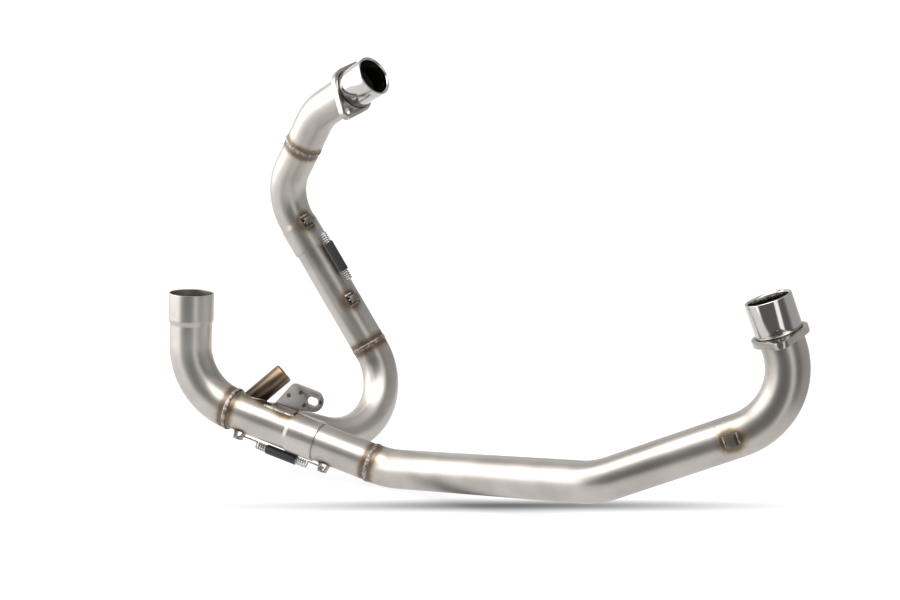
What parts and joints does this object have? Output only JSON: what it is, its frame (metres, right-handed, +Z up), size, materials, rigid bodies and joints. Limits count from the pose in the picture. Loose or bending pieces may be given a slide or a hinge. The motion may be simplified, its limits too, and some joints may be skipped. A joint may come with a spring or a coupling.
{
  "type": "exhaust_header_set",
  "caption": "Stainless two-into-one motorcycle decat header set with slip joints, retaining springs, loose port flanges, sensor boss and mounting bracket",
  "frame": {"origin": "centre of the mouth of the front port spigot", "axes": "+X to the front of the motorcycle, +Z up, +Y to the motorcycle's left"},
  "size_m": [0.7494, 0.2674, 0.49],
  "materials": {
    "tube_steel": "satin drawn stainless tube",
    "turned_steel": "bright turned stainless",
    "flange_steel": "machined stainless plate",
    "weld_metal": "rippled weld bead",
    "boss_steel": "heat tinted turned stainless",
    "plate_steel": "laser cut and folded stainless",
    "spring_steel": "bright spring wire",
    "sleeve_rubber": "matt black rubber"
  },
  "bodies": {
    "pipe": {"front_spigot": "turned_steel", "front_down_bend": "tube_steel", "front_run_tube": "tube_steel", "front_slip_tube": "tube_steel", "front_weld": "weld_metal", "collector_tube": "tube_steel", "outlet_weld": "weld_metal", "outlet_bend": "tube_steel", "merge_weld": "weld_metal", "return_bend": "tube_steel", "riser_weld": "weld_metal", "riser_tube": "tube_steel", "rear_lower_bend": "tube_steel", "rear_weld": "weld_metal", "rear_upper_bend": "tube_steel", "rear_spigot": "turned_steel", "sensor_boss": "boss_steel", "mount_bracket": "plate_steel", "spare_spring_tab": "plate_steel", "stub_spring_tab": "plate_steel", "collector_spring_tab": "plate_steel", "riser_spring_tab": "plate_steel", "rear_spring_tab": "plate_steel", "front_spring": "spring_steel", "front_spring_sleeve": "sleeve_rubber", "rear_spring": "spring_steel", "rear_spring_sleeve": "sleeve_rubber"},
    "front_collar": {"front_flange": "flange_steel"},
    "rear_collar": {"rear_flange": "flange_steel"}
  },
  "joints": [
    {"name": "front_flange_swivel", "type": "hinge", "parent": "pipe", "child": "front_collar", "pos_m": [0.01006, 0.00729, -0.03432], "axis": [-0.2756, -0.1999, 0.9403], "continuous": true},
    {"name": "rear_flange_swivel", "type": "hinge", "parent": "pipe", "child": "rear_collar", "pos_m": [-0.55831, -0.00232, 0.18874], "axis": [0.8838, 0.0389, 0.4662], "continuous": true}
  ]
}
